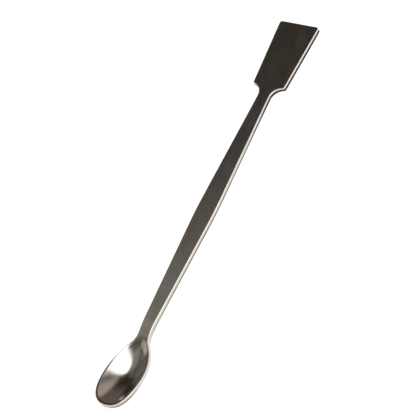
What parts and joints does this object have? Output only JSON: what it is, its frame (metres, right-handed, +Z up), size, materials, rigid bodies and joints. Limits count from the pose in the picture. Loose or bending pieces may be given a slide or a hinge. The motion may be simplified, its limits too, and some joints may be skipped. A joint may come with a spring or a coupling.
{
  "type": "lab spatula",
  "caption": "One-piece steel laboratory spatula: a flat flared blade at one end, a slim flat handle and a dished spoon at the other, for scooping and scraping powders.",
  "frame": {"origin": "under the middle of the length, on the surface that the spatula lies on", "axes": "+X from the spoon to the blade, +Y to the left seen from the spoon, +Z up out of the bowl"},
  "size_m": [0.15, 0.0152, 0.0064],
  "materials": {
    "steel": "satin, bright at the edges"
  },
  "bodies": {
    "root": {"spatula": "steel"}
  },
  "joints": []
}
